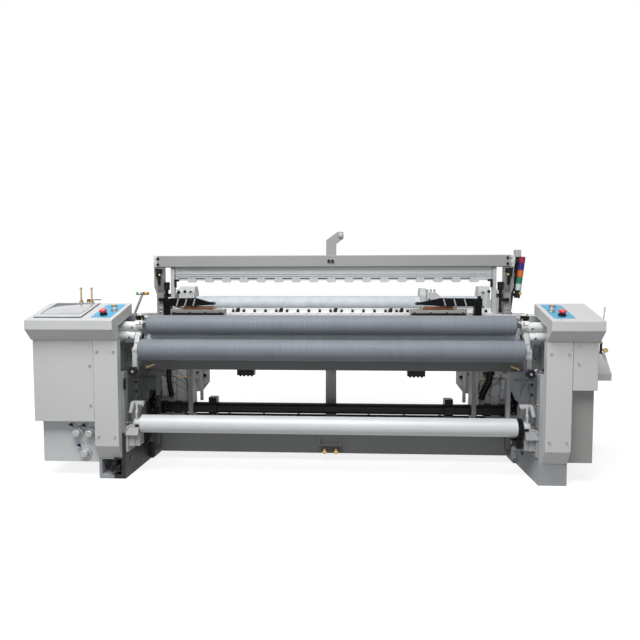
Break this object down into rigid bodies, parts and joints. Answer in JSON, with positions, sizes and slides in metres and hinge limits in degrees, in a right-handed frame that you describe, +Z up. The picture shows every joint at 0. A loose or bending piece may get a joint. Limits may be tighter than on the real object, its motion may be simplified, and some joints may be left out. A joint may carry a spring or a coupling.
{
  "type": "power loom",
  "caption": "Air-jet power loom for wide cloth: side frames with control desks, cloth and take-up rollers, a rocking sley, temples, an upper guide rail and a backrest roller.",
  "frame": {"origin": "on the floor, under the middle of the whole machine's box", "axes": "+X along the width of the cloth to the weaver's right, +Y from the weaver's side to the warp side, +Z up"},
  "size_m": [3.2667, 1.686, 1.424],
  "materials": {
    "light_paint": "smooth light grey powder coat",
    "frame_paint": "blue grey paint on castings",
    "rail_paint": "mid grey paint",
    "beam_paint": "dark grey paint",
    "black_paint": "black paint",
    "bare_aluminium": "satin",
    "cast_aluminium": "cast and machined",
    "steel": "machined",
    "roller_rubber": "ground matt rubber",
    "brass_fittings": "turned",
    "black_plastic": "moulded",
    "red_plastic": "moulded",
    "white_plastic": "moulded",
    "blue_panel": "printed sheet",
    "screen_glass": "touch screen",
    "white_roller": "smooth",
    "signal_plastic": "coloured lenses"
  },
  "bodies": {
    "loom_frame": {"air_pipes": "brass_fittings", "air_regulators": "cast_aluminium", "backrest_arms": "light_paint", "breast_beam": "rail_paint", "button_panels": "blue_panel", "centre_strut": "rail_paint", "cloth_roller_seats": "frame_paint", "cloth_support_bar": "steel", "cover_screws": "steel", "drive_boxes": "light_paint", "front_cross_beam": "beam_paint", "heald_guide_rail": "bare_aluminium", "hoist_arm": "rail_paint", "left_cabinet": "light_paint", "left_column_cover": "light_paint", "left_control_box": "light_paint", "left_side_frame": "frame_paint", "lower_panels": "light_paint", "rail_posts": "rail_paint", "rear_cross_beams": "beam_paint", "right_cabinet": "light_paint", "right_column_cover": "light_paint", "right_control_box": "light_paint", "right_side_frame": "frame_paint", "roller_brackets": "cast_aluminium", "sensor_lamp": "steel", "servo_motors": "black_paint", "side_tray": "light_paint", "temple_bars": "steel", "temple_covers": "black_paint", "top_rail": "rail_paint", "touch_screen": "screen_glass", "tower_light": "signal_plastic", "valve_boxes": "black_plastic"},
    "cloth_roller_body": {"cloth_roller": "bare_aluminium", "cloth_roller_gear": "black_paint"},
    "drive_pinion_body": {"cloth_drive_pinion": "black_paint"},
    "guide_roller_body": {"guide_roller": "roller_rubber"},
    "take_up_body": {"take_up_roller": "roller_rubber"},
    "press_levers": {"left_press_lever": "cast_aluminium", "right_press_lever": "cast_aluminium"},
    "press_roller_body": {"press_roller": "roller_rubber"},
    "left_latch": {"left_roller_latch": "cast_aluminium"},
    "right_latch": {"right_roller_latch": "cast_aluminium"},
    "left_knob": {"left_star_knob": "black_plastic"},
    "right_knob": {"right_star_knob": "black_plastic"},
    "sley": {"rocking_shaft": "black_paint", "sley_swords": "rail_paint", "sley_beam": "bare_aluminium", "relay_nozzles": "black_paint"},
    "backrest_body": {"backrest_roller": "white_roller"},
    "left_temple": {"left_temple_roller": "brass_fittings"},
    "right_temple": {"right_temple_roller": "brass_fittings"},
    "valve_lever": {"air_valve_lever": "black_plastic"},
    "left_stop": {"left_stop_button": "red_plastic"},
    "left_start": {"left_start_button": "white_plastic"},
    "left_jog": {"left_jog_button": "white_plastic"},
    "right_stop": {"right_stop_button": "red_plastic"},
    "right_start": {"right_start_button": "white_plastic"},
    "right_jog": {"right_jog_button": "white_plastic"}
  },
  "joints": [
    {"name": "cloth_roller_spin", "type": "hinge", "parent": "loom_frame", "child": "cloth_roller_body", "pos_m": [0, -0.678, 0.3], "axis": [1, 0, 0], "continuous": true},
    {"name": "drive_pinion_spin", "type": "hinge", "parent": "loom_frame", "child": "drive_pinion_body", "pos_m": [1.041, -0.678, 0.219], "axis": [1, 0, 0], "continuous": true},
    {"name": "guide_roller_spin", "type": "hinge", "parent": "loom_frame", "child": "guide_roller_body", "pos_m": [0, -0.653, 0.858], "axis": [1, 0, 0], "continuous": true},
    {"name": "take_up_spin", "type": "hinge", "parent": "loom_frame", "child": "take_up_body", "pos_m": [0, -0.57567, 0.76887], "axis": [1, 0, 0], "continuous": true},
    {"name": "press_lever_swing", "type": "hinge", "parent": "loom_frame", "child": "press_levers", "pos_m": [0, -0.653, 0.795], "axis": [1, 0, 0], "range_deg": [-35, 0]},
    {"name": "press_roller_spin", "type": "hinge", "parent": "press_levers", "child": "press_roller_body", "pos_m": [0, -0.688, 0.72], "axis": [1, 0, 0], "continuous": true},
    {"name": "left_latch_swing", "type": "hinge", "parent": "loom_frame", "child": "left_latch", "pos_m": [-1.08, -0.618, 0.392], "axis": [1, 0, 0], "range_deg": [-75, 0]},
    {"name": "right_latch_swing", "type": "hinge", "parent": "loom_frame", "child": "right_latch", "pos_m": [1.08, -0.618, 0.392], "axis": [1, 0, 0], "range_deg": [-75, 0]},
    {"name": "left_knob_turn", "type": "hinge", "parent": "loom_frame", "child": "left_knob", "pos_m": [-1.076, -0.623, 0.9], "axis": [0, 0, 1], "continuous": true},
    {"name": "right_knob_turn", "type": "hinge", "parent": "loom_frame", "child": "right_knob", "pos_m": [1.076, -0.623, 0.9], "axis": [0, 0, 1], "continuous": true},
    {"name": "sley_swing", "type": "hinge", "parent": "loom_frame", "child": "sley", "pos_m": [0, -0.303, 0.32], "axis": [1, 0, 0], "range_deg": [-6, 5]},
    {"name": "backrest_spin", "type": "hinge", "parent": "loom_frame", "child": "backrest_body", "pos_m": [0, 0.747, 0.956], "axis": [1, 0, 0], "continuous": true},
    {"name": "left_temple_spin", "type": "hinge", "parent": "loom_frame", "child": "left_temple", "pos_m": [-0.782, -0.463, 0.949], "axis": [1, 0, 0], "continuous": true},
    {"name": "right_temple_spin", "type": "hinge", "parent": "loom_frame", "child": "right_temple", "pos_m": [0.63, -0.463, 0.949], "axis": [1, 0, 0], "continuous": true},
    {"name": "valve_lever_turn", "type": "hinge", "parent": "loom_frame", "child": "valve_lever", "pos_m": [-1.42, -0.523, 0.995], "axis": [0, 0, 1], "range_deg": [0, 90]},
    {"name": "left_stop_press", "type": "slide", "parent": "loom_frame", "child": "left_stop", "axis": [0, 0.2905, -0.9569], "range_m": [0, 0.004], "stiffness_N_per_m": 600},
    {"name": "left_start_press", "type": "slide", "parent": "loom_frame", "child": "left_start", "axis": [0, 0.2905, -0.9569], "range_m": [0, 0.004], "stiffness_N_per_m": 600},
    {"name": "left_jog_press", "type": "slide", "parent": "loom_frame", "child": "left_jog", "axis": [0, 0.2905, -0.9569], "range_m": [0, 0.004], "stiffness_N_per_m": 600},
    {"name": "right_stop_press", "type": "slide", "parent": "loom_frame", "child": "right_stop", "axis": [0, 0.2905, -0.9569], "range_m": [0, 0.004], "stiffness_N_per_m": 600},
    {"name": "right_start_press", "type": "slide", "parent": "loom_frame", "child": "right_start", "axis": [0, 0.2905, -0.9569], "range_m": [0, 0.004], "stiffness_N_per_m": 600},
    {"name": "right_jog_press", "type": "slide", "parent": "loom_frame", "child": "right_jog", "axis": [0, 0.2905, -0.9569], "range_m": [0, 0.004], "stiffness_N_per_m": 600}
  ],
  "couplings": [
    {"joint": "drive_pinion_spin", "follows": "cloth_roller_spin", "ratio": -1.4545},
    {"joint": "guide_roller_spin", "follows": "take_up_spin", "ratio": -1.1963},
    {"joint": "press_roller_spin", "follows": "take_up_spin", "ratio": -1.1034}
  ]
}
